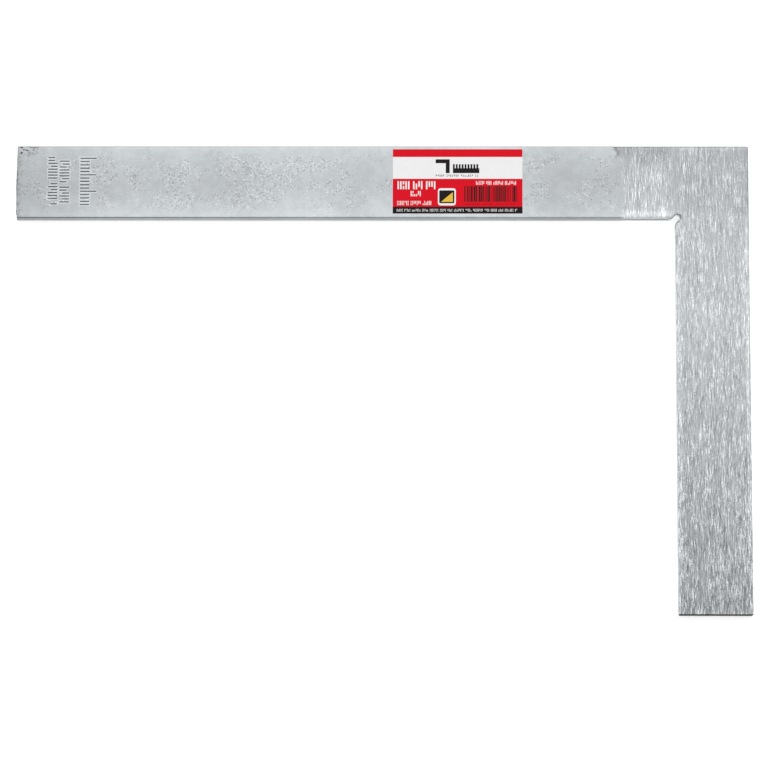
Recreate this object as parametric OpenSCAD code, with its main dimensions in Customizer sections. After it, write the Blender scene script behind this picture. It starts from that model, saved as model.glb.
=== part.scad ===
// Flat steel square, lying on its back.
// Two lengths of flat bar meet at a right angle. The end of the long limb butts against the inner
// edge of the short limb, the V grooves of the joint are filled by a weld bead on each face, and
// everything is ground flush. A relief is cut in the inner corner, and the long limb carries a
// printed label.
// X runs along the long limb towards the outer corner, Y runs along the short limb towards the
// outer corner, and Z is up through the thickness. The origin is the centre of the outer size, on
// the back face.

/* [Limbs] */
// Outer length of the long limb
long_length = 250; // [150:5:400]
// Outer length of the short limb
short_length = 160; // [100:5:300]
// Width of the flat bar of both limbs
bar_width = 25; // [25:0.5:40]
// Thickness of the flat bar of both limbs
bar_thickness = 5; // [4:0.5:8]
// Radius on every edge of the bars
edge_radius = 0.5; // [0.2:0.1:0.8]

/* [Corner weld] */
// Width of each weld bead at the face
bead_width = 2.6; // [2:0.1:2.6]
// Width of each weld bead at its root
bead_root = 0.8; // [0.4:0.1:1.2]
// Height of the land in mid thickness where the two bars touch
root_land = 1; // [0.6:0.1:1.6]

/* [Corner relief] */
// Radius of the relief in the inner corner
relief_radius = 1.1; // [1.1:0.05:2.5]
// Distance that the middle of the relief lies inside the short limb
relief_in_short = 0.6; // [0.4:0.05:0.65]
// Distance that the middle of the relief lies inside the long limb
relief_in_long = 0.4; // [0.35:0.05:0.6]

/* [Label] */
// Length of the label along the long limb
label_length = 44.2; // [30:0.2:50]
// Height of the label across the long limb
label_height = 22.3; // [15:0.1:22.6]
// Thickness of the label film
label_thickness = 0.1; // [0.05:0.01:0.2]
// Distance from the outer corner to the near end of the label
label_to_corner = 77; // [35:1:95]
// Distance from the outer edge of the long limb to the label
label_to_edge = 1.1; // [1:0.1:1.2]

/* [Hidden] */
$fn = 64;

// Outer corner, and the inner edges that run down to the inner corner
corner_x = long_length / 2;
corner_y = short_length / 2;
inner_x = corner_x - bar_width;
inner_y = corner_y - bar_width;
// How far cutting tools reach past the surfaces that they cut
reach = 1;
// Length of the relief from its middle out past the inner corner
relief_run = 4 * relief_radius;

// Rounded rectangle of a bar's cross section, as wide as w along X and standing on Y = 0
module bar_section(w) {
    translate([-w / 2, edge_radius])
        square([w, bar_thickness - 2 * edge_radius]);
    translate([edge_radius - w / 2, 0])
        square([w - 2 * edge_radius, bar_thickness]);
    for (side = [-1, 1], level = [edge_radius, bar_thickness - edge_radius])
        translate([side * (w / 2 - edge_radius), level])
            circle(r = edge_radius);
}

// Flat bar lying on Z = 0 and centred on the origin, rounded on the edges along X and along Y
module flat_bar(size_x, size_y) {
    intersection() {
        rotate([90, 0, 90])
            linear_extrude(size_x, center = true) bar_section(size_y);
        rotate([90, 0, 0])
            linear_extrude(size_y, center = true) bar_section(size_x);
    }
}

// The long limb's bar over its whole outer length, up to the outer corner
module long_bar() {
    translate([0, corner_y - bar_width / 2, 0]) flat_bar(long_length, bar_width);
}

module short_bar() {
    translate([corner_x - bar_width / 2, 0, 0]) flat_bar(bar_width, short_length);
}

// V groove along the joint in the front face, from the inner edge to past the outer edge
module front_groove() {
    translate([inner_x, corner_y + reach, 0])
        rotate([90, 0, 0])
            linear_extrude(bar_width + reach)
                polygon([
                    [-bead_root / 2, (bar_thickness + root_land) / 2],
                    [bead_root / 2, (bar_thickness + root_land) / 2],
                    [bead_width / 2, bar_thickness],
                    [-bead_width / 2, bar_thickness]
                ]);
}

module back_groove() {
    translate([0, 0, bar_thickness]) mirror([0, 0, 1]) front_groove();
}

// Round hole in the inner corner with a slot as wide as the hole, open along the diagonal
module corner_relief() {
    translate([inner_x + relief_in_short, inner_y + relief_in_long, -reach]) {
        cylinder(h = bar_thickness + 2 * reach, r = relief_radius);
        rotate([0, 0, -135])
            translate([0, -relief_radius, 0])
                cube([relief_run, 2 * relief_radius, bar_thickness + 2 * reach]);
    }
}

// Part of the long bar between the free end and the joint
module long_limb() {
    color("lightsteelblue")
        difference() {
            long_bar();
            translate([inner_x, inner_y - reach, -reach])
                cube([bar_width + reach, bar_width + 2 * reach, bar_thickness + 2 * reach]);
            front_groove();
            back_groove();
            corner_relief();
        }
}

module short_limb() {
    color("silver")
        difference() {
            short_bar();
            front_groove();
            back_groove();
            corner_relief();
        }
}

// Bead that fills a groove and is ground flush with the bars
module weld_bead() {
    difference() {
        intersection() {
            long_bar();
            children();
        }
        corner_relief();
    }
}

module weld_front() {
    color("gainsboro") weld_bead() front_groove();
}

module weld_back() {
    color("darkgray") weld_bead() back_groove();
}

module label() {
    color("crimson")
        translate([
            corner_x - label_to_corner - label_length,
            corner_y - label_to_edge - label_height,
            bar_thickness
        ])
            cube([label_length, label_height, label_thickness]);
}

long_limb();
short_limb();
weld_front();
weld_back();
label();
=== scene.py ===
"""Looks for the flat steel square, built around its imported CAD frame.

Lengths are in metres and places come from the frame's boxes. The square lies on its back: the long
limb runs along X, the short limb runs along Y, and the front face with the label looks up.
"""

import math
import random

import bmesh
import bpy
import numpy as np
from mathutils import Euler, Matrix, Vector


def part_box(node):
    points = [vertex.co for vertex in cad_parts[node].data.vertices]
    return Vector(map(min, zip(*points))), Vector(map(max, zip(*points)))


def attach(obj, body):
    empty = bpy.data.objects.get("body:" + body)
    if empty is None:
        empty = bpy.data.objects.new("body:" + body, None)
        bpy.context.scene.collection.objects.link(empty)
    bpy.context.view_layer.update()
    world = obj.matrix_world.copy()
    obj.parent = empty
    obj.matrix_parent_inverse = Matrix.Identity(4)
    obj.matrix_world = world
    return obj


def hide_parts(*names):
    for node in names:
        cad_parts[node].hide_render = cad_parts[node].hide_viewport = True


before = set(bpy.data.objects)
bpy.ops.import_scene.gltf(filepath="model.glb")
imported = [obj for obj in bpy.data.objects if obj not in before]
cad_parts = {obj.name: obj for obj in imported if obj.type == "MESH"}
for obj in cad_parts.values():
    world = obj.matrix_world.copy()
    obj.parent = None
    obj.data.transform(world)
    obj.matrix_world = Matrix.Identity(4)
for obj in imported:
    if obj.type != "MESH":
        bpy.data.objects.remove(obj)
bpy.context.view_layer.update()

MM = 0.001
FAR = 1.0

# ---------------------------------------------------------------- places taken from the frame

long_low, long_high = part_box("long_limb")
short_low, short_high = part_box("short_limb")
label_low, label_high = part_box("label")
bead_low, bead_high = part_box("weld_front")

LEFT = long_low[0]
RIGHT = short_high[0]
NEAR = short_low[1]
BACK = short_high[1]
INNER_X = short_low[0]
INNER_Y = long_low[1]
WIDTH = long_high[1] - long_low[1]
THICK = short_high[2]
BEAD_HALF = (bead_high[0] - bead_low[0]) / 2
LAND_HALF = bead_low[2] - THICK / 2

# ---------------------------------------------------------------- shape of the two limbs

EDGE_RADIUS = 0.5 * MM
EDGE_SEGMENTS = 6
WALL_RINGS = 8
BEAD_ROOT_HALF = 0.4 * MM
# The middle of the corner relief lies past the inner edges of both limbs.
RELIEF_RADIUS = 1.1 * MM
RELIEF_IN_SHORT = 0.6 * MM
RELIEF_IN_LONG = 0.4 * MM
RELIEF_RUN = 4 * MM
RELIEF_SEGMENTS = 60

# The corner is ground a little below the rolled skin of the bar, on both faces. The ground area
# reaches along the long limb from the joint, less far at the inner edge than at the outer edge. It
# changes over at GROUND_BEND, and a wedge adds to it from WEDGE_FROM to the outer edge. Both are
# shares of the bar's width.
GROUND_DEPTH = 0.1 * MM
GROUND_REACH_INNER = 18.8 * MM
GROUND_REACH_OUTER = 20.1 * MM
GROUND_BEND = (0.3, 0.65)
GROUND_WEDGE = 1.1 * MM
WEDGE_FROM = 0.88
GROUND_WAVER = 0.15 * MM
# Length of the slope down to the ground area: a run-out, and a step near the outer edge.
GROUND_RUN_OUT = 4.0 * MM
GROUND_STEP = 0.35 * MM
# The grinding also rolls off the faces beside their edges.
ROLL_OFF_WIDTH = 1.8 * MM
ROLL_OFF_DEPTH = 0.07 * MM

# The free end was sheared, which leaves it rough and leaning in towards the front. What the front
# loses is given at places across the bar, from the inner edge to the outer edge.
SHEAR_PLACES = (0, 0.06, 0.3, 0.4, 0.55, 0.7, 1)
SHEAR_LOSS = (0.45 * MM, 0.14 * MM, 0.1 * MM, 0, 0.02 * MM, 0.18 * MM, 0.2 * MM)
SHEAR_ROUGH = 0.05 * MM
SHEAR_FADE = 1.6 * MM

# ---------------------------------------------------------------- tones painted on the steel

# Tone across the bar from the inner edge to the outer edge, on the ground end of the long limb and in
# the corner of the short limb. Both are painted light: a painted highlight towards the inner edge and
# painted shade towards the outer edge.
TONE_PLACES = (0, 0.06, 0.12, 0.3, 0.72, 0.86, 1)
TONE_PATCH = (1.60, 1.46, 1.08, 0.97, 0.91, 0.77, 0.66)
TONE_CORNER = (0.99, 0.95, 0.90, 0.88, 0.86, 0.82, 0.78)
# Tone of the rounded edges, painted shade and painted highlights: on the zinc it rises from the free end
# towards the corner.
LINE_PLACES = (20 * MM, 190 * MM)
LINE_TONES_ZINC = (0.02, 0.36)
LINE_TONE_GROUND = 0.85
LINE_TONE_HIGHLIGHT = 1.35
# Tone of the walls: painted shade, lighter on the walls that take painted highlights.
WALL_TONE_ZINC = 0.68
WALL_TONE_GROUND = 0.45
WALL_TONE_HIGHLIGHT = 0.95
# Cut faces are painted dark near the front and brighter lower down: on the relief wall the dark band is
# painted shade and the bright part a painted reflection, and the sheared ends are dark steel with
# painted shade in their front band.
CUT_DEPTH = (1.5 * MM, 2.1 * MM)
RELIEF_TONES = (0.22, 2.2)
SHEAR_TONES = (0.05, 0.34)
# Places of three edges in the list from edge_distances. Where the steel is ground, the walls of two of
# these edges and the roundings of all three take painted highlights.
OUTER_SHORT, INNER_LONG, INNER_SHORT = 1, 4, 5
HIGHLIGHT_WALLS = (OUTER_SHORT, INNER_SHORT)
HIGHLIGHT_LINES = (OUTER_SHORT, INNER_LONG, INNER_SHORT)

# ---------------------------------------------------------------- stamps

STAMP_DEPTH = 0.16 * MM
STAMP_HALF_WIDTH = 0.2 * MM
STAMP_LIP = 0.035 * MM
STAMP_LIP_WIDTH = 0.16 * MM
STAMP_GRID = 0.17 * MM

# ---------------------------------------------------------------- heights and tones by place

# Number of plane waves that make up an uneven surface.
WAVE_COUNT = 14


def smooth_step(value, low, high):
    """0 below low, 1 above high, with a soft start and end between them."""
    t = np.clip((value - low) / (high - low), 0, 1)
    return t * t * (3 - 2 * t)


def waves(x, y, wavelength, seed):
    """Smooth random height with a spread of about 1, as a sum of plane waves."""
    draws = np.random.default_rng(seed)
    total = np.zeros_like(x)
    for _ in range(WAVE_COUNT):
        heading, phase = draws.uniform(0, 2 * math.pi, 2)
        turns = 2 * math.pi / (wavelength * draws.uniform(0.6, 1.6))
        total += np.sin((x * math.cos(heading) + y * math.sin(heading)) * turns + phase)
    return total / math.sqrt(WAVE_COUNT / 2)


def edge_distances(x, y):
    """Distance from each edge of the outline, far away beside an inner edge that has ended.

    The order is long outer, short outer, free end, near end, long inner, short inner.
    """
    inner_long = np.where(x < INNER_X, y - INNER_Y, FAR)
    inner_short = np.where(y < INNER_Y, x - INNER_X, FAR)
    return [BACK - y, RIGHT - x, x - LEFT, y - NEAR, inner_long, inner_short]


def rounding(distance):
    """Height that a rounded edge loses at a distance from the edge."""
    run = np.clip(1 - distance / EDGE_RADIUS, 0, 1)
    return EDGE_RADIUS * (1 - np.sqrt(np.clip(1 - run * run, 0, 1)))


def ground_start(y):
    """Where along X the ground area starts on the long limb."""
    across = (y - INNER_Y) / WIDTH
    outer = smooth_step(across, *GROUND_BEND)
    reach = GROUND_REACH_INNER + (GROUND_REACH_OUTER - GROUND_REACH_INNER) * outer
    reach = reach + GROUND_WEDGE * np.clip((across - WEDGE_FROM) / (1 - WEDGE_FROM), 0, 1)
    return INNER_X - reach + GROUND_WAVER * waves(np.zeros_like(y), y, 3 * MM, 11)


def ground_share(x, y):
    """0 on the rolled skin of the long limb, 1 where the corner and the short limb are ground."""
    across = (y - INNER_Y) / WIDTH
    soft = GROUND_RUN_OUT * (0.5 + 0.5 * smooth_step(across, 0.05, 0.35))
    soft = soft + (GROUND_STEP - soft) * smooth_step(across, 0.78, 0.9)
    return smooth_step((x - ground_start(y)) / soft, 0, 1)


def roll_off(x, y):
    """Height that the grinding takes off beside the edges."""
    total = np.zeros_like(x)
    for distance in edge_distances(x, y):
        beside = np.clip(1 - distance / ROLL_OFF_WIDTH, 0, 1)
        total = np.maximum(total, beside * beside)
    return ROLL_OFF_DEPTH * total


def face_loss(x, y, seed):
    """How far a face lies below its nominal plane."""
    rounded = np.zeros_like(x)
    for distance in edge_distances(x, y):
        rounded = np.maximum(rounded, rounding(distance))
    ground = ground_share(x, y)
    uneven = 0.006 * MM * (1 + waves(x, y, 26 * MM, seed))
    uneven = uneven + 0.002 * MM * waves(x, y, 7 * MM, seed + 1)
    return rounded + ground * (GROUND_DEPTH + roll_off(x, y)) + np.clip(uneven, 0, None)


def stroke_loss(x, y, start, end):
    """Depth of one stamped stroke, negative on the lip that it pushed up."""
    along = np.array(end) - np.array(start)
    share = np.clip(((x - start[0]) * along[0] + (y - start[1]) * along[1]) / (along @ along), 0, 1)
    distance = np.hypot(x - start[0] - share * along[0], y - start[1] - share * along[1])
    wall = smooth_step(distance, 0.35 * STAMP_HALF_WIDTH, 1.25 * STAMP_HALF_WIDTH)
    lip = np.exp(-(((distance - 1.6 * STAMP_HALF_WIDTH) / STAMP_LIP_WIDTH) ** 2))
    return STAMP_DEPTH * (1 - wall) - STAMP_LIP * lip


# Stamped columns: distance from the free end, height of the marks across the column, where the
# column starts and ends across the bar as shares of the bar's width, and seed.
STAMP_COLUMNS = [
    (11.0 * MM, 3.0 * MM, 0.84, 0.17, 5),
    (14.9 * MM, 3.2 * MM, 0.79, 0.22, 6),
]
STAMP_PITCH = 1.02 * MM
STAMP_SPANS = [(0, 1), (0, 1), (0, 0.7), (0.3, 1)]
TICKS_FROM_END = 22.0 * MM
TICK_LONG = 5.4 * MM
TICK_SHORT = 3.0 * MM
TICK_GAP = 1.15 * MM
TICK_COUNT = 15


def upright_marks(length, height, pitch, seed, spans):
    """Upright strokes in word-sized groups, which stand for a line of text and spell nothing.

    spans holds the lower and upper ends that a stroke may have, as shares of the height. Each stroke
    is (place along the row, lower end, upper end), and a short one may have another above or below.
    """
    draws = random.Random(seed)
    strokes = []
    place = 0.0
    left_in_group = draws.randint(4, 8)
    while place <= length:
        low, high = draws.choice(spans)
        strokes.append((place, low * height, high * height))
        if high - low < 0.5 and draws.random() < 0.6:
            strokes.append((place, (1 - high) * height, (1 - low) * height))
        place += pitch
        left_in_group -= 1
        if left_in_group == 0:
            place += 0.9 * pitch
            left_in_group = draws.randint(4, 8)
    return strokes


def stamp_strokes():
    """Start and end of every stamped stroke: two columns of upright marks and one of ticks."""
    strokes = []
    for from_end, height, top, bottom, seed in STAMP_COLUMNS:
        x = LEFT + from_end
        y = INNER_Y + top * WIDTH
        marks = upright_marks((top - bottom) * WIDTH, height, STAMP_PITCH, seed, STAMP_SPANS)
        for place, low, high in marks:
            strokes.append(((x + low, y - place), (x + high, y - place)))
    for tick in range(TICK_COUNT):
        y = INNER_Y + 0.83 * WIDTH - tick * TICK_GAP
        length = TICK_LONG if tick % 5 == 0 else TICK_SHORT
        x = LEFT + TICKS_FROM_END
        strokes.append(((x, y), (x + length, y)))
    return strokes


def stamp_loss(x, y):
    """Depth of all the stamped strokes, with the deepest one where two meet."""
    groove = np.zeros_like(x)
    lip = np.zeros_like(x)
    for start, end in stamp_strokes():
        loss = stroke_loss(x, y, start, end)
        groove = np.maximum(groove, loss)
        lip = np.minimum(lip, loss)
    return np.where(groove > 0, groove, lip)


def front_height(x, y):
    return THICK - np.maximum(face_loss(x, y, 21) + stamp_loss(x, y), 0)


def back_height(x, y):
    return face_loss(x, y, 31)


def relief_gap(x, y):
    """Distance outside the wall of the corner relief, negative inside it."""
    from_x = x - INNER_X - RELIEF_IN_SHORT
    from_y = y - INNER_Y - RELIEF_IN_LONG
    along = -(from_x + from_y) * math.sqrt(0.5)
    aside = (from_x - from_y) * math.sqrt(0.5)
    return np.hypot(aside, np.minimum(along, 0)) - RELIEF_RADIUS


def face_tone(x, y):
    """Brightness of the steel on the faces, about 1 in the middle of the ground areas, with painted
    highlights and painted shade in it.
    """
    across = (y - INNER_Y) / WIDTH
    side = 2 * np.clip(across, 0, 1) - 1
    from_end = x - LEFT

    # The zinc is brighter towards both edges and darker near the corner, and painted shade darkens it
    # near the free end.
    zinc = 0.955 + np.where(side > 0, 0.15, 0.25) * side**2
    zinc *= 0.90 + 0.10 * smooth_step(from_end, 18 * MM, 40 * MM)
    zinc *= 1 - 0.06 * smooth_step(x, 40 * MM, 60 * MM)
    patch = np.interp(across, TONE_PLACES, TONE_PATCH)
    corner = np.interp(across, TONE_PLACES, TONE_CORNER)

    # The short limb has a faint painted highlight band, painted shade that darkens it down its length,
    # and painted highlights along its edges and its end.
    down = BACK - y
    corner *= 0.985 + 0.08 * np.exp(-(((down - 62 * MM) / (20 * MM)) ** 2))
    corner *= 1 - 0.13 * smooth_step(down, 90 * MM, 165 * MM)
    beside = np.minimum(x - INNER_X, RIGHT - x)
    edge_highlight = 1 - smooth_step(beside, 0.7 * MM, 2.0 * MM)
    corner *= 1 + 0.26 * edge_highlight * smooth_step(down, 15 * MM, 35 * MM)
    corner *= 1.3 - 0.3 * smooth_step(y - NEAR, 0.5 * MM, 1.5 * MM)

    # The ground areas' tone, which carries the painted highlights and painted shade of the patch and the
    # corner.
    ground_tone_and_light = patch + (corner - patch) * smooth_step(x, INNER_X - 2.5 * MM, INNER_X)
    tone = zinc + (ground_tone_and_light - zinc) * ground_share(x, y)

    # Painted shade of the step down to the ground area makes a dark wedge near the outer edge.
    wedge = 1.3 * MM * np.clip((across - 0.72) / 0.28, 0.02, 1)
    ahead = (x - ground_start(y)) / wedge
    step = np.exp(-(((ahead - 0.5) / 0.5) ** 2)) * smooth_step(across, 0.74, 0.9)
    return tone * (1 - 0.36 * step)


def tone_of(x, y, z):
    """Brightness of the steel everywhere, with painted highlights and painted shade: faces, stamps,
    roundings, walls and sheared ends.
    """
    tone = face_tone(x, y)
    # Painted shade darkens the stamped grooves, and painted highlights brighten the lips beside them.
    loss = np.where(z > THICK / 2, stamp_loss(x, y), 0)
    tone = tone * (1 - 0.8 * np.clip(loss / STAMP_DEPTH, 0, 1))
    tone = tone * (1 + 0.5 * np.clip(-loss / STAMP_LIP, 0, 1))

    # Roundings and walls of the edges get painted light: painted highlights on the ground edges inside
    # the square and along the short limb, and painted shade on the others.
    distances = np.array(edge_distances(x, y))
    edge = distances.min(axis=0)
    wall = 1 - smooth_step(edge, 0, 0.06 * MM)
    line = (1 - smooth_step(edge, 0.1 * MM, 0.32 * MM)) * (1 - wall)
    nearest = distances.argmin(axis=0)
    ground = ground_share(x, y)
    line_zinc = np.interp(x - LEFT, LINE_PLACES, LINE_TONES_ZINC)
    line_ground = np.where(np.isin(nearest, HIGHLIGHT_LINES), LINE_TONE_HIGHLIGHT, LINE_TONE_GROUND)
    wall_ground = np.where(np.isin(nearest, HIGHLIGHT_WALLS), WALL_TONE_HIGHLIGHT, WALL_TONE_GROUND)
    tone = tone * (1 + line * (line_zinc - 1 + (line_ground - line_zinc) * ground))
    tone = tone * (1 + wall * (WALL_TONE_ZINC - 1 + (wall_ground - WALL_TONE_ZINC) * ground))

    # The relief wall: painted shade near the front and a painted reflection lower down.
    relief_reflection_share = smooth_step(THICK - z, *CUT_DEPTH)
    relief = RELIEF_TONES[0] + (RELIEF_TONES[1] - RELIEF_TONES[0]) * relief_reflection_share
    tone = np.where(np.abs(relief_gap(x, y)) < 0.02 * MM, relief, tone)

    # Shear marks run through the thickness of both ends, and the painted shade of the front band ends at
    # an uneven depth.
    flat = np.zeros_like(x)
    depth = THICK - z + 0.4 * MM * waves(x + y, flat, 3 * MM, 52)
    end_lower_share = smooth_step(depth, *CUT_DEPTH)
    end_tone = SHEAR_TONES[0] + (SHEAR_TONES[1] - SHEAR_TONES[0]) * end_lower_share
    end_tone *= 1 + np.clip(0.22 * waves(x + y, flat, 1.5 * MM, 51), -0.5, 0.5)
    below = smooth_step(np.minimum(z, THICK - z), 0.15 * MM, 0.45 * MM)
    sheared = (1 - smooth_step(x - LEFT, 0.5 * MM, 0.8 * MM)) * below
    # At the near end the dark tone also covers the rounding, as painted shade.
    sheared = np.maximum(sheared, 1 - smooth_step(y - NEAR, 0.3 * MM, 0.5 * MM))
    return tone + sheared * (end_tone - tone)


def coarseness(x, y):
    """Strength of the grinding streaks.

    It rises down the short limb. It is low along the weld, on the walls and where the grinding of
    the long limb starts near its outer edge.
    """
    down = ((BACK - y) / (BACK - NEAR)) ** 2.6
    seam = np.exp(-(((x - INNER_X) / (1.6 * MM)) ** 2)) * (y > INNER_Y)
    edge = np.array(edge_distances(x, y)).min(axis=0)
    wall = 1 - smooth_step(edge, 0, 0.2 * MM)
    entry = 1 - smooth_step(x - ground_start(y), 2 * MM, 7 * MM)
    entry = entry * smooth_step((y - INNER_Y) / WIDTH, 0.45, 0.8)
    streaks = 0.48 + 0.68 * down * (1 - wall)
    return streaks * (1 - 0.6 * seam) * (1 - 0.4 * wall) * (1 - 0.45 * entry)


def chipping(x, y):
    """Share of the dark chips in the zinc, which gather at the outer corner of the free end."""
    corner = np.hypot((x - LEFT) / (9 * MM), (BACK - y) / (4 * MM))
    end = np.clip(1 - (x - LEFT) / (3.5 * MM), 0, 1)
    return np.clip(1.6 * (1.1 - corner), 0, 1) + 0.4 * end


def pitting(y):
    """Share of the pits in the zinc, which thin out towards both edges of the bar."""
    across = (y - INNER_Y) / WIDTH
    return 1 - 0.85 * smooth_step(np.abs(2 * across - 1), 0.55, 0.9)


def round_corners(points):
    """Rounds the upright edges at the three outer corners and at the inner corner of the near end."""
    corners = [(LEFT, BACK, 1, -1), (RIGHT, BACK, -1, -1), (RIGHT, NEAR, -1, 1), (INNER_X, NEAR, 1, 1)]
    for x, y, to_x, to_y in corners:
        middle = np.array([x + to_x * EDGE_RADIUS, y + to_y * EDGE_RADIUS])
        away = points[:, :2] - middle
        out = np.maximum(-to_x * away[:, 0], 0), np.maximum(-to_y * away[:, 1], 0)
        inside = (np.hypot(*away.T) < 2 * EDGE_RADIUS) & (out[0] > 0) & (out[1] > 0)
        pull = np.maximum(*out)[inside] / np.hypot(*out)[inside]
        points[inside, :2] = middle + away[inside] * pull[:, None]
    return points


def shear(points):
    """Leans the free end in towards the front and roughens it."""
    x, y, z = points.T
    across = (y - INNER_Y) / WIDTH
    near_end = np.clip(1 - (x - LEFT) / SHEAR_FADE, 0, 1)
    lean = np.interp(across, SHEAR_PLACES, SHEAR_LOSS) * z / THICK
    rough = SHEAR_ROUGH * (1 + 0.5 * waves(y, z, 1.4 * MM, 41) + 0.4 * waves(y, z, 0.5 * MM, 42))
    points[:, 0] = x + near_end * np.clip(lean + rough, 0, None)
    return points


# ---------------------------------------------------------------- meshes

# Points closer than this are merged after a cut.
MERGE_REACH = 0.001 * MM


def grid_lines(low, high, step, round_low=False, round_high=False, fine=()):
    """Rising places for grid lines, close together on rounded edges and in the fine stretches.

    fine holds (start, end, step) for each stretch that has its own step.
    """
    turns = np.linspace(0, math.pi / 2, EDGE_SEGMENTS + 1)
    beside = EDGE_RADIUS * (1 - np.cos(turns))
    first, last = low, high
    places = []
    if round_low:
        places += list(low + beside)
        first = low + EDGE_RADIUS
    if round_high:
        places += list(high - beside)
        last = high - EDGE_RADIUS
    stops = [first]
    steps = []
    for start, end, fine_step in fine:
        stops += [start, end]
        steps += [step, fine_step]
    stops.append(last)
    steps.append(step)
    for start, end, spacing in zip(stops, stops[1:], steps):
        places += list(np.linspace(start, end, max(2, math.ceil((end - start) / spacing) + 1)))
    return np.unique(np.round(places, 7))


def new_object(name, points, faces):
    mesh = bpy.data.meshes.new(name)
    mesh.from_pydata(points.tolist(), [], faces)
    mesh.update()
    made = bpy.data.objects.new(name, mesh)
    bpy.context.scene.collection.objects.link(made)
    return made


def mesh_points(mesh):
    """The places of a mesh's vertices, one row each."""
    places = np.empty(len(mesh.vertices) * 3)
    mesh.vertices.foreach_get("co", places)
    return places.reshape(-1, 3)


def plate(name, xs, ys, top, bottom):
    """Closed plate over a rectangle of grid lines, between two height functions of x and y."""
    x, y = np.meshgrid(xs, ys, indexing="ij")
    columns, rows = x.shape
    index = np.arange(columns * rows).reshape(columns, rows)
    high = np.stack([x.ravel(), y.ravel(), top(x, y).ravel()], axis=1)
    low = np.stack([x.ravel(), y.ravel(), bottom(x, y).ravel()], axis=1)
    count = len(high)

    corners = [index[:-1, :-1], index[1:, :-1], index[1:, 1:], index[:-1, 1:]]
    quads = np.stack([c.ravel() for c in corners], axis=1)
    faces = quads.tolist() + (quads[:, ::-1] + count).tolist()

    rim = np.concatenate([index[:-1, 0], index[-1, :-1], index[:0:-1, -1], index[0, :0:-1]])
    points = [high, low]
    rings = [rim]
    for ring in range(1, WALL_RINGS):
        share = ring / WALL_RINGS
        rings.append(np.arange(len(rim)) + count * 2 + len(rim) * (ring - 1))
        points.append(high[rim] * (1 - share) + low[rim] * share)
    rings.append(rim + count)
    for upper, lower in zip(rings, rings[1:]):
        walls = np.stack([lower, np.roll(lower, -1), np.roll(upper, -1), upper], axis=1)
        faces += walls.tolist()
    return new_object(name, np.concatenate(points), faces)


def prism(name, outline, low, high, axis):
    """Closed prism of a convex outline, from low to high along an axis.

    axis 1 takes an outline in X and Z and runs along Y, and axis 2 takes one in X and Y and runs
    along Z.
    """
    ends = []
    for level in (low, high):
        ends += [(a, level, b) if axis == 1 else (a, b, level) for a, b in outline]
    n = len(outline)
    faces = [list(range(n))[::-1], list(range(n, 2 * n))]
    faces += [[i, (i + 1) % n, n + (i + 1) % n, n + i] for i in range(n)]
    made = new_object(name, np.array(ends), faces)
    if axis == 1:
        made.data.flip_normals()
    return made


def combine(piece, tool, operation):
    """Cuts or trims a piece's mesh with a tool's and leaves no modifier.

    Faces with many corners are split here, so that none is left without area when the mesh is
    turned into triangles.
    """
    step = piece.modifiers.new("combine", "BOOLEAN")
    step.operation = operation
    step.solver = "EXACT"
    step.object = tool
    evaluated = piece.evaluated_get(bpy.context.evaluated_depsgraph_get())
    mesh = bpy.data.meshes.new_from_object(evaluated)
    work = bmesh.new()
    work.from_mesh(mesh)
    bmesh.ops.remove_doubles(work, verts=work.verts, dist=MERGE_REACH)
    bmesh.ops.dissolve_degenerate(work, dist=MERGE_REACH, edges=work.edges)
    many_sided = [face for face in work.faces if len(face.verts) > 4]
    bmesh.ops.triangulate(work, faces=many_sided, ngon_method="BEAUTY")
    work.to_mesh(mesh)
    work.free()
    piece.modifiers.clear()
    old = piece.data
    piece.data = mesh
    bpy.data.meshes.remove(old)
    mesh.name = piece.name


def relief_tool():
    """Round hole with a slot as wide as the hole, open along the diagonal."""
    centre = (INNER_X + RELIEF_IN_SHORT, INNER_Y + RELIEF_IN_LONG)
    outline = []
    for i in range(RELIEF_SEGMENTS + 1):
        angle = math.radians(-45) + math.pi * i / RELIEF_SEGMENTS
        x = centre[0] + RELIEF_RADIUS * math.cos(angle)
        y = centre[1] + RELIEF_RADIUS * math.sin(angle)
        outline.append((x, y))
    out = RELIEF_RUN * math.sqrt(0.5)
    outline.append((outline[-1][0] - out, outline[-1][1] - out))
    outline.append((outline[0][0] - out, outline[0][1] - out))
    return prism("relief_tool", outline, -MM, THICK + MM, axis=2)


def groove_tool(name, front):
    """V groove along the joint, from its root at the land to past the face."""
    slope = (BEAD_HALF - BEAD_ROOT_HALF) / (THICK / 2 - LAND_HALF)
    past = MM
    mouth = BEAD_HALF + slope * past
    root = THICK / 2 + (LAND_HALF if front else -LAND_HALF)
    face = THICK + past if front else -past
    outline = [
        (INNER_X - BEAD_ROOT_HALF, root),
        (INNER_X + BEAD_ROOT_HALF, root),
        (INNER_X + mouth, face),
        (INNER_X - mouth, face),
    ]
    if not front:
        outline.reverse()
    return prism(name, outline, INNER_Y, BACK + MM, axis=1)


def finish_steel(piece, node, material):
    """Shading, painted attributes, material and frame calls that every steel piece shares."""
    mesh = piece.data
    mesh.shade_smooth()
    mesh.set_sharp_from_angle(angle=math.radians(38))
    x, y, z = mesh_points(mesh).T
    painted = {
        "ground": ground_share(x, y),
        "tone": tone_of(x, y, z),
        "coarse": coarseness(x, y),
        "chips": chipping(x, y) * (z > THICK / 2),
        "pitted": pitting(y),
    }
    for attribute, values in painted.items():
        mesh.attributes.new(attribute, "FLOAT", "POINT").data.foreach_set("value", values)
    mesh.materials.clear()
    mesh.materials.append(material)
    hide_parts(node)
    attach(piece, "root")


# ---------------------------------------------------------------- material helpers


# Size of the region of the noise that the columns of a surface are cut from.
COLUMN_SPREAD = 1.0
BRIGHTEST = 0.96


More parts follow.
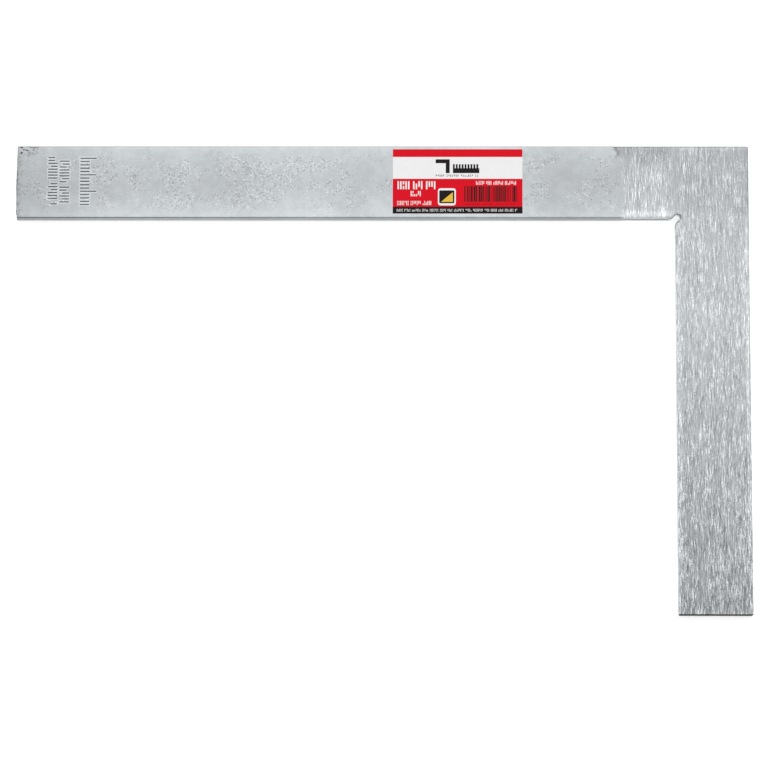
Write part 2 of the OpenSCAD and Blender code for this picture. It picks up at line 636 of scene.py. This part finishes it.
class Surface:
    """A Principled material whose nodes are added by short calls."""

    def __init__(self, name):
        self.material = bpy.data.materials.new(name)
        self.material.use_nodes = True
        self.tree = self.material.node_tree
        self.shader = self.tree.nodes["Principled BSDF"]
        self.place = self.add("ShaderNodeTexCoord").outputs["Object"]

    def add(self, kind, settings=None, **values):
        """A new node with its settings, and with its inputs set or linked by name."""
        node = self.tree.nodes.new(kind)
        for key, value in (settings or {}).items():
            setattr(node, key, value)
        for key, value in values.items():
            self.put(node.inputs[key.replace("_", " ")], value)
        return node

    def put(self, socket, value):
        """Links a socket if value is one, or sets the number or colour."""
        if isinstance(value, bpy.types.NodeSocket):
            self.tree.links.new(value, socket)
        else:
            socket.default_value = value

    def maths(self, operation, first, second=0.0, clamp=False):
        node = self.add("ShaderNodeMath", {"operation": operation, "use_clamp": clamp})
        self.put(node.inputs[0], first)
        self.put(node.inputs[1], second)
        return node.outputs[0]

    def total(self, *values):
        """Sum of numbers and sockets."""
        result = values[0]
        for value in values[1:]:
            result = self.maths("ADD", result, value)
        return result

    def centred(self, value, weight):
        """A value from 0 to 1, moved to lie around 0, times a weight."""
        return self.maths("MULTIPLY", self.maths("SUBTRACT", value, 0.5), weight)

    def placed(self, stretch=(1, 1, 1), shift=(0, 0, 0)):
        """The object's coordinates less a shift, times a stretch for each axis."""
        moved = self.add("ShaderNodeVectorMath", {"operation": "SUBTRACT"})
        self.put(moved.inputs[0], self.place)
        moved.inputs[1].default_value = shift
        node = self.add("ShaderNodeVectorMath", {"operation": "MULTIPLY"})
        self.put(node.inputs[0], moved.outputs[0])
        node.inputs[1].default_value = stretch
        return node.outputs[0]

    def painted(self, name):
        """A number painted on the mesh's vertices."""
        return self.add("ShaderNodeAttribute", {"attribute_name": name}).outputs["Fac"]

    def noise(self, size, detail=2.0, roughness=0.5, stretch=(1, 1, 1), distortion=0.0):
        """Noise from 0 to 1 whose features are about size metres across."""
        node = self.add(
            "ShaderNodeTexNoise",
            Vector=self.placed(stretch),
            Scale=1 / size,
            Detail=detail,
            Roughness=roughness,
            Distortion=distortion,
        )
        return node.outputs["Fac"]

    def columns(self, width, length, detail=2.0, shift=0.0):
        """Noise from 0 to 1 in straight columns along Y, each cut from another place of the noise."""
        column = self.add("ShaderNodeVectorMath", {"operation": "SNAP"})
        self.put(column.inputs[0], self.placed(shift=(shift, 0, 0)))
        column.inputs[1].default_value = (width, width, width)
        across = self.add("ShaderNodeVectorMath", {"operation": "MULTIPLY"})
        self.put(across.inputs[0], column.outputs[0])
        across.inputs[1].default_value = (1, 0, 1)
        pick = self.add("ShaderNodeTexWhiteNoise", {"noise_dimensions": "3D"}, Vector=across.outputs[0])
        along = self.add("ShaderNodeVectorMath", {"operation": "MULTIPLY_ADD"})
        self.put(along.inputs[0], pick.outputs["Color"])
        along.inputs[1].default_value = (COLUMN_SPREAD, COLUMN_SPREAD, COLUMN_SPREAD)
        self.put(along.inputs[2], self.placed((0, 1, 0)))
        texture = self.add(
            "ShaderNodeTexNoise", Vector=along.outputs[0], Scale=1 / length, Detail=detail, Roughness=0.6
        )
        return texture.outputs["Fac"]

    def spread(self, value, low, high, out_low=0.0, out_high=1.0, smooth=True):
        """Maps a value from low..high to out_low..out_high, and holds it there outside."""
        kind = "SMOOTHSTEP" if smooth else "LINEAR"
        node = self.add("ShaderNodeMapRange", {"interpolation_type": kind})
        names = ("Value", "From Min", "From Max", "To Min", "To Max")
        for name, number in zip(names, (value, low, high, out_low, out_high)):
            self.put(node.inputs[name], number)
        return node.outputs["Result"]

    def spots(self, size, radius, chance, patches, shift=(0, 0, 0)):
        """Ragged spots, 1 in a spot's middle where patches is 1.

        chance is the share of cells that hold a spot, and radius is a spot's as a share of a cell.
        """
        place = self.placed(shift=shift)
        wobble = self.add("ShaderNodeTexNoise", Vector=place, Scale=1.8 / size, Detail=1.0)
        ragged = self.add("ShaderNodeVectorMath", {"operation": "MULTIPLY_ADD"})
        self.put(ragged.inputs[0], wobble.outputs["Color"])
        ragged.inputs[1].default_value = (0.5 * size, 0.5 * size, 0.5 * size)
        self.put(ragged.inputs[2], place)
        node = self.add("ShaderNodeTexVoronoi", Vector=ragged.outputs[0], Scale=1 / size)
        inside = self.spread(node.outputs["Distance"], radius * 0.5, radius, 1.0, 0.0)
        pick = self.add("ShaderNodeSeparateColor", Color=node.outputs["Color"]).outputs[0]
        chosen = self.maths("LESS_THAN", pick, chance)
        spot = self.maths("MULTIPLY", inside, chosen)
        return self.maths("MULTIPLY", spot, patches)

    def mix(self, share, first, second):
        """Mix of two colours."""
        node = self.add("ShaderNodeMix", {"data_type": "RGBA"})
        self.put(node.inputs["Factor"], share)
        self.put(node.inputs[6], first)
        self.put(node.inputs[7], second)
        return node.outputs[2]

    def blend(self, share, first, second):
        """Mix of two numbers."""
        node = self.add("ShaderNodeMix", {"data_type": "FLOAT"})
        self.put(node.inputs["Factor"], share)
        self.put(node.inputs[2], first)
        self.put(node.inputs[3], second)
        return node.outputs[0]

    def scaled(self, colour, factor):
        """A colour times a number, held below the brightest that a surface may be."""
        times = self.add("ShaderNodeVectorMath", {"operation": "SCALE"})
        self.put(times.inputs[0], colour)
        self.put(times.inputs["Scale"], factor)
        held = self.add("ShaderNodeVectorMath", {"operation": "MINIMUM"})
        self.put(held.inputs[0], times.outputs[0])
        held.inputs[1].default_value = (BRIGHTEST, BRIGHTEST, BRIGHTEST)
        return held.outputs[0]

    def bump(self, height, distance):
        """Fine relief on the surface, distance metres high where height rises by 1."""
        node = self.add("ShaderNodeBump", Height=height, Distance=distance, Strength=1.0)
        self.put(self.shader.inputs["Normal"], node.outputs["Normal"])

    def set(self, **values):
        """Sets or links the shader's own inputs."""
        for key, value in values.items():
            self.put(self.shader.inputs[key.replace("_", " ")], value)


# ---------------------------------------------------------------- steel

ZINC_DARK = (0.335, 0.353, 0.364, 1)
ZINC_LIGHT = (0.560, 0.588, 0.604, 1)
# Colours of the pits' painted shade and of the glints, which are painted highlights.
ZINC_PIT = (0.20, 0.21, 0.22, 1)
ZINC_GLINT = (0.80, 0.82, 0.83, 1)
CHIP = (0.05, 0.05, 0.05, 1)
GROUND_DARK = (0.195, 0.205, 0.213, 1)
GROUND_MID = (0.375, 0.393, 0.407, 1)
GROUND_BRIGHT = (0.870, 0.895, 0.910, 1)
STEEL_METALLIC = 0.85
# Contrast of the grinding streaks, and width of the columns that the broader ones lie in.
STREAK_GAIN = 3.3
SCRATCH_WIDTH = 0.28 * MM


def zinc_layers(s):
    """Colour, roughness and height of the matt zinc skin: mottles, grain, clustered pits darkened by
    painted shade, and glints that are painted highlights.
    """
    broad = s.noise(24 * MM, 2, 0.5)
    mottle = s.noise(3 * MM, 3, 0.6, distortion=0.4)
    grain = s.noise(0.62 * MM, 1.5, 0.5)
    tone = s.total(
        s.centred(s.spread(broad, 0.3, 0.7), 0.22),
        s.centred(s.spread(mottle, 0.3, 0.7), 0.2),
        s.centred(s.spread(grain, 0.28, 0.72), 0.34),
        0.5,
    )
    colour = s.mix(tone, ZINC_DARK, ZINC_LIGHT)

    # Dark pits, darkened by painted shade in their hollows, and glints, which are painted highlights,
    # lie in the same clusters, and the chips where they are painted.
    clusters = s.spread(s.noise(8 * MM, 3, 0.6), 0.42, 0.56)
    clusters = s.maths("MULTIPLY", clusters, s.painted("pitted"))
    pits = s.spots(0.55 * MM, 0.56, 0.26, clusters)
    glints = s.spots(0.55 * MM, 0.56, 0.26, clusters, (5.3 * MM, 2.1 * MM, 0))
    chips = s.spots(0.7 * MM, 0.74, 0.55, s.painted("chips"))
    colour = s.mix(s.maths("MULTIPLY", glints, 0.52), colour, ZINC_GLINT)
    colour = s.mix(s.maths("MULTIPLY", pits, 0.72), colour, ZINC_PIT)
    colour = s.mix(s.maths("MULTIPLY", chips, 0.9, clamp=True), colour, CHIP)
    rough = s.spread(grain, 0.2, 0.8, 0.46, 0.60)
    height = s.maths("SUBTRACT", s.maths("MULTIPLY", grain, 0.5), s.maths("MULTIPLY", pits, 0.8))
    height = s.maths("ADD", height, s.maths("MULTIPLY", mottle, 0.6))
    return colour, rough, height


def ground_layers(s):
    """Colour, roughness and height of ground steel: straight scratches along Y over a fine grain, each
    with painted shade in the column beside it.
    """
    fine = s.columns(0.19 * MM, 2.4 * MM, 3)
    scratch = s.columns(SCRATCH_WIDTH, 3.2 * MM, 3)
    # The shaded columns darken one side of each scratch, as painted shade.
    shaded = s.columns(SCRATCH_WIDTH, 3.2 * MM, 3, shift=SCRATCH_WIDTH)
    long_scratch = s.columns(0.34 * MM, 9 * MM)
    grain = s.noise(0.45 * MM, 1, 0.5)
    streak = s.total(
        s.centred(scratch, 1.0),
        s.centred(shaded, -0.25),
        s.centred(fine, 0.5),
        s.centred(long_scratch, 0.55),
        s.centred(grain, 0.35),
    )
    calm = s.spread(s.noise(5 * MM, 2, 0.5), 0.38, 0.54, 0.5, 1.0)
    gain = s.maths("MULTIPLY", s.maths("MULTIPLY", calm, s.painted("coarse")), STREAK_GAIN)
    tone = s.maths("ADD", s.maths("MULTIPLY", streak, gain), 0.5)
    colour = s.mix(s.spread(tone, -0.1, 0.5, smooth=False), GROUND_DARK, GROUND_MID)
    bright = s.spread(tone, 0.5, 1.1, smooth=False)
    colour = s.mix(bright, colour, GROUND_BRIGHT)
    rough = s.blend(bright, s.spread(fine, 0.2, 0.8, 0.40, 0.50), 0.34)
    return colour, rough, streak


def limb_steel(name):
    """Zinc skin that gives way to ground steel by the mesh's ground attribute."""
    s = Surface(name)
    zinc = zinc_layers(s)
    ground = ground_layers(s)
    ragged = s.maths("MULTIPLY", s.noise(0.5 * MM, 2, 0.5, (1, 0.07, 1)), 0.7)
    share = s.spread(s.maths("ADD", s.painted("ground"), ragged), 0.6, 1.0)
    s.set(
        Base_Color=s.scaled(s.mix(share, zinc[0], ground[0]), s.painted("tone")),
        Roughness=s.blend(share, zinc[1], ground[1]),
        Metallic=STEEL_METALLIC,
    )
    s.bump(s.blend(share, zinc[2], ground[2]), 0.02 * MM)
    return s.material


def make_steel():
    steel = limb_steel("limb_steel")
    relief = relief_tool()
    front_groove = groove_tool("front_groove_tool", True)
    back_groove = groove_tool("back_groove_tool", False)

    # Stretches with a finer grid: over the stamps, and where the ground area starts.
    stamp_x = (LEFT + 10.2 * MM, LEFT + 28.4 * MM, STAMP_GRID)
    run_out_x = (INNER_X - 22.5 * MM, INNER_X - 12 * MM, 0.35 * MM)
    long_xs = grid_lines(LEFT, INNER_X, 1.4 * MM, round_low=True, fine=[stamp_x, run_out_x])
    stamp_y = (INNER_Y + 0.12 * WIDTH, INNER_Y + 0.88 * WIDTH, STAMP_GRID)
    long_ys = grid_lines(INNER_Y, BACK, 0.5 * MM, True, True, fine=[stamp_y])

    long_limb = plate("long_limb_body", long_xs, long_ys, front_height, back_height)
    points = shear(round_corners(mesh_points(long_limb.data)))
    long_limb.data.vertices.foreach_set("co", points.ravel())
    for tool in (front_groove, back_groove, relief):
        combine(long_limb, tool, "DIFFERENCE")
    finish_steel(long_limb, "long_limb", steel)

    short_xs = grid_lines(INNER_X, RIGHT, 0.6 * MM, True, True)
    short_ys = grid_lines(NEAR, BACK, 1.2 * MM, True, True)
    short_limb = plate("short_limb_body", short_xs, short_ys, front_height, back_height)
    points = round_corners(mesh_points(short_limb.data))
    short_limb.data.vertices.foreach_set("co", points.ravel())
    for tool in (front_groove, back_groove, relief):
        combine(short_limb, tool, "DIFFERENCE")
    finish_steel(short_limb, "short_limb", steel)

    bead_xs = np.linspace(INNER_X - BEAD_HALF - MM, INNER_X + BEAD_HALF + MM, 24)
    bead_ys = grid_lines(INNER_Y, BACK, 0.5 * MM, True, True)
    for side, groove in (("front", front_groove), ("back", back_groove)):
        bead = plate(f"weld_{side}_bead", bead_xs, bead_ys, front_height, back_height)
        combine(bead, relief, "DIFFERENCE")
        combine(bead, groove, "INTERSECT")
        finish_steel(bead, f"weld_{side}", steel)
    for tool in (relief, front_groove, back_groove):
        bpy.data.objects.remove(tool)


make_steel()

# ---------------------------------------------------------------- label

FILM = 0.06 * MM
INK = 0.009 * MM

# Heights of the printed bands above the label's lower edge.
FOOTER_TOP = 2.32 * MM
FIELD_TOP = 12.03 * MM
STRIPE_BOTTOM = 19.62 * MM
LABEL_LENGTH = label_high[0] - label_low[0]
LABEL_HEIGHT = label_high[1] - label_low[1]


def rectangle(x0, y0, x1, y1):
    return [(x0, y0), (x1, y0), (x1, y1), (x0, y1)]


def round_rectangle(x0, y0, x1, y1, radius, segments=8):
    """Outline of a rectangle with round corners, anticlockwise."""
    corners = [(x1, y0, 1, -1), (x1, y1, 1, 1), (x0, y1, -1, 1), (x0, y0, -1, -1)]
    outline = []
    for turn, (x, y, to_x, to_y) in enumerate(corners):
        for i in range(segments + 1):
            angle = math.pi / 2 * (turn - 1 + i / segments)
            arc_x = x - to_x * radius + radius * math.cos(angle)
            arc_y = y - to_y * radius + radius * math.sin(angle)
            outline.append((arc_x, arc_y))
    return outline


def print_layer(name, outlines, layer, material):
    """Thin closed prisms on the film, with outlines measured from the label's lower left corner.

    Layer 0 is the film itself, and each layer above it is one coat of ink.
    """
    low = FILM + INK * (layer - 1) if layer else 0
    high = FILM + INK * layer
    points = []
    faces = []
    for outline in outlines:
        first = len(points)
        n = len(outline)
        for level in (low, high):
            points += [(label_low[0] + x, label_low[1] + y, label_low[2] + level) for x, y in outline]
        faces.append([first + i for i in reversed(range(n))])
        faces.append([first + n + i for i in range(n)])
        for i in range(n):
            j = (i + 1) % n
            faces.append([first + i, first + j, first + n + j, first + n + i])
    made = new_object(name, np.array(points), faces)
    made.data.materials.append(material)
    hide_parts("label")
    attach(made, "root")


# Lower and upper ends that a bar of small print may have, as shares of the line's height.
PRINT_SPANS = [(0, 1), (0, 1), (0, 1), (0, 0.7), (0.3, 1), (0, 0.4), (0.6, 1)]


def small_print(left, right, bottom, top, pitch, seed, bold=0.5):
    """Bars that stand for a line of print. bold is a bar's width as a share of the pitch."""
    wide = pitch * bold
    bars = []
    marks = upright_marks(right - left - wide, top - bottom, pitch, seed, PRINT_SPANS)
    for place, low, high in marks:
        bars.append(rectangle(left + place, bottom + low, left + place + wide, bottom + high))
    return bars


def bar_pattern(left, right, bottom, top, module, seed):
    """Upright bars and gaps of random widths, one to four modules each."""
    draws = random.Random(seed)
    bars = []
    x = left
    while x < right:
        wide = draws.choice([1, 1, 2, 2, 3]) * module
        bars.append(rectangle(x, bottom, min(x + wide, right), top))
        x += wide + draws.choice([1, 1, 1, 2, 3]) * module
    return bars


def emblem():
    """Outlines of the plain emblem: a square, and a rule with teeth beside it."""
    left, bottom, size, bar = 14.6 * MM, 14.0 * MM, 4.8 * MM, 1.35 * MM
    right, top = left + size, bottom + size
    square = [(left, top - bar), (right - bar, top - bar), (right - bar, bottom)]
    square += [(right, bottom), (right, top), (left, top)]
    rule_left, rule_right = right + 1.1 * MM, 29.5 * MM
    rule_middle, rule_top = bottom + 1.7 * MM, bottom + 3.1 * MM
    teeth = 9
    pitch = (rule_right - rule_left) / teeth
    rule = [(rule_left, bottom), (rule_right, bottom), (rule_right, rule_middle)]
    for i in reversed(range(teeth)):
        start = rule_left + i * pitch
        end = start + 0.62 * pitch
        rule += [(end, rule_middle), (end, rule_top), (start, rule_top)]
        if i:
            rule.append((start, rule_middle))
    return [square, rule]


# Specular level of the printed inks, which are satin.
INK_GLOSS = 0.06


def ink(name, colour, rough=0.42):
    """Printed ink with a faint uneven density."""
    s = Surface(name)
    density = s.noise(0.35 * MM, 2, 0.6)
    broad = s.noise(12 * MM, 2, 0.5)
    share = s.maths("MULTIPLY", s.spread(density, 0.3, 0.7), 0.5)
    share = s.maths("ADD", share, s.maths("MULTIPLY", broad, 0.5))
    dull = tuple(0.88 * c for c in colour)
    s.set(
        Base_Color=s.mix(share, (*dull, 1), (*colour, 1)),
        Roughness=s.spread(density, 0.2, 0.8, rough - 0.04, rough + 0.08),
        Specular_IOR_Level=INK_GLOSS,
    )
    s.bump(s.maths("ADD", broad, s.maths("MULTIPLY", density, 0.05)), 0.04 * MM)
    return s.material


def make_label():
    white = ink("ink_white", (0.885, 0.885, 0.885))
    red = ink("ink_red", (0.72, 0.004, 0.016))
    black = ink("ink_black", (0.014, 0.010, 0.011))
    amber = ink("ink_amber", (0.80, 0.52, 0.06))
    grey = ink("ink_grey", (0.16, 0.16, 0.16))

    whole = rectangle(0, 0, LABEL_LENGTH, LABEL_HEIGHT)
    field = rectangle(0, FOOTER_TOP, LABEL_LENGTH, FIELD_TOP)
    stripe = rectangle(0, STRIPE_BOTTOM, LABEL_LENGTH, LABEL_HEIGHT)
    footer = rectangle(0, 0, LABEL_LENGTH, FOOTER_TOP)
    print_layer("label_film_sheet", [whole], 0, white)
    print_layer("label_red_print", [field, stripe], 1, red)
    print_layer("label_black_print", [footer, *emblem()], 1, black)
    grey_bars = small_print(14.7 * MM, 29.5 * MM, 12.75 * MM, 13.5 * MM, 0.62 * MM, 3)
    print_layer("label_grey_print", grey_bars, 1, grey)

    tile = round_rectangle(15.4 * MM, 2.78 * MM, 21.5 * MM, 8.74 * MM, 0.9 * MM)
    white_shapes = [tile]
    white_shapes += small_print(1.6 * MM, 14.7 * MM, 8.4 * MM, 11.2 * MM, 0.9 * MM, 4, 0.56)
    white_shapes += small_print(6.1 * MM, 9.9 * MM, 5.95 * MM, 7.8 * MM, 0.62 * MM, 5, 0.55)
    white_shapes += small_print(1.5 * MM, 13.7 * MM, 2.9 * MM, 4.35 * MM, 0.52 * MM, 6, 0.5)
    white_shapes += small_print(28.4 * MM, 42.6 * MM, 9.95 * MM, 11.25 * MM, 0.5 * MM, 7, 0.5)
    white_shapes += small_print(1.4 * MM, 42.7 * MM, 0.65 * MM, 1.6 * MM, 0.44 * MM, 8, 0.4)
    print_layer("label_white_print", white_shapes, 2, white)

    dark_shapes = bar_pattern(24.4 * MM, 42.4 * MM, 4.1 * MM, 9.5 * MM, 0.19 * MM, 9)
    dark_shapes += small_print(25 * MM, 42 * MM, 2.8 * MM, 3.6 * MM, 0.62 * MM, 10, 0.22)
    print_layer("label_bar_print", dark_shapes, 2, black)

    panel = round_rectangle(15.85 * MM, 3.55 * MM, 21.0 * MM, 8.0 * MM, 0.4 * MM)
    print_layer("label_panel_print", [panel], 3, black)
    triangle = [(16.4 * MM, 4.0 * MM), (20.5 * MM, 4.0 * MM), (20.5 * MM, 7.4 * MM)]
    print_layer("label_amber_print", [triangle], 4, amber)


make_label()

# ---------------------------------------------------------------- floor, light and camera

FLOOR_SIZE = 6.0

# Sine of the elevation where the sky starts and stops brightening, and its strength at both.
SKY = (0.1, 0.6, 0.3, 0.82)
# Strength of the floor's own light, which keeps it as pale as the photo's and the shadows faint.
FLOOR_GLOW = 0.5


def make_floor():
    s = Surface("floor_paper")
    grain = s.noise(2 * MM, 2, 0.5)
    s.set(
        Base_Color=s.mix(grain, (0.90, 0.90, 0.90, 1), (0.92, 0.92, 0.92, 1)),
        Roughness=0.9,
        Emission_Color=(1, 1, 1, 1),
        Emission_Strength=FLOOR_GLOW,
    )
    half = FLOOR_SIZE / 2
    corners = np.array([(-half, -half, 0), (half, -half, 0), (half, half, 0), (-half, half, 0)])
    floor = new_object("floor", corners, [[0, 1, 2, 3]])
    floor.data.materials.append(s.material)


def softbox(name, place, aim, width, depth, power):
    lamp = bpy.data.lights.new(name, "AREA")
    lamp.shape = "RECTANGLE"
    lamp.size = width
    lamp.size_y = depth
    lamp.energy = power
    made = bpy.data.objects.new(name, lamp)
    made.location = place
    made.rotation_euler = (Vector(aim) - Vector(place)).to_track_quat("-Z", "Y").to_euler()
    bpy.context.scene.collection.objects.link(made)


def make_light():
    world = bpy.data.worlds.new("studio")
    world.use_nodes = True
    tree = world.node_tree
    sky = tree.nodes["Background"]
    sky.inputs["Color"].default_value = (1, 1, 1, 1)

    # The light comes from a sky that is brightest high above the square.
    direction = tree.nodes.new("ShaderNodeTexCoord")
    height = tree.nodes.new("ShaderNodeSeparateXYZ")
    rise = tree.nodes.new("ShaderNodeMapRange")
    rise.interpolation_type = "SMOOTHSTEP"
    for name, value in zip(("From Min", "From Max", "To Min", "To Max"), SKY):
        rise.inputs[name].default_value = value
    tree.links.new(direction.outputs["Generated"], height.inputs["Vector"])
    tree.links.new(height.outputs["Z"], rise.inputs["Value"])

    # Past the floor's edge the backdrop is seen plain white, like the floor.
    seen = tree.nodes.new("ShaderNodeLightPath")
    strength = tree.nodes.new("ShaderNodeMath")
    strength.operation = "MAXIMUM"
    tree.links.new(seen.outputs["Is Camera Ray"], strength.inputs[0])
    tree.links.new(rise.outputs["Result"], strength.inputs[1])
    tree.links.new(strength.outputs[0], sky.inputs["Strength"])
    bpy.context.scene.world = world
    softbox("softbox_far", (0.1, 0.75, 1.3), (0, 0.05, 0), 1.4, 0.7, 8)


# The camera stands over the near half of the square and looks almost straight down.
CAMERA_PLACE = (0.01922, -0.15118, 1.08653)
CAMERA_PITCH = 7.924
CAMERA_TURN = 0.944
CAMERA_ROLL = 0.203
CAMERA_LENS = 151.52
SENSOR_WIDTH = 36.0


def make_camera():
    data = bpy.data.cameras.new("camera")
    data.lens = CAMERA_LENS
    data.sensor_width = SENSOR_WIDTH
    data.clip_start = 0.05
    data.clip_end = 20
    camera = bpy.data.objects.new("camera", data)
    camera.location = CAMERA_PLACE
    angles = [math.radians(a) for a in (CAMERA_PITCH, CAMERA_TURN, CAMERA_ROLL)]
    camera.rotation_euler = Euler(angles, "XYZ")
    bpy.context.scene.collection.objects.link(camera)
    bpy.context.scene.camera = camera


make_floor()
make_light()
make_camera()
bpy.context.scene.view_settings.view_transform = "Standard"
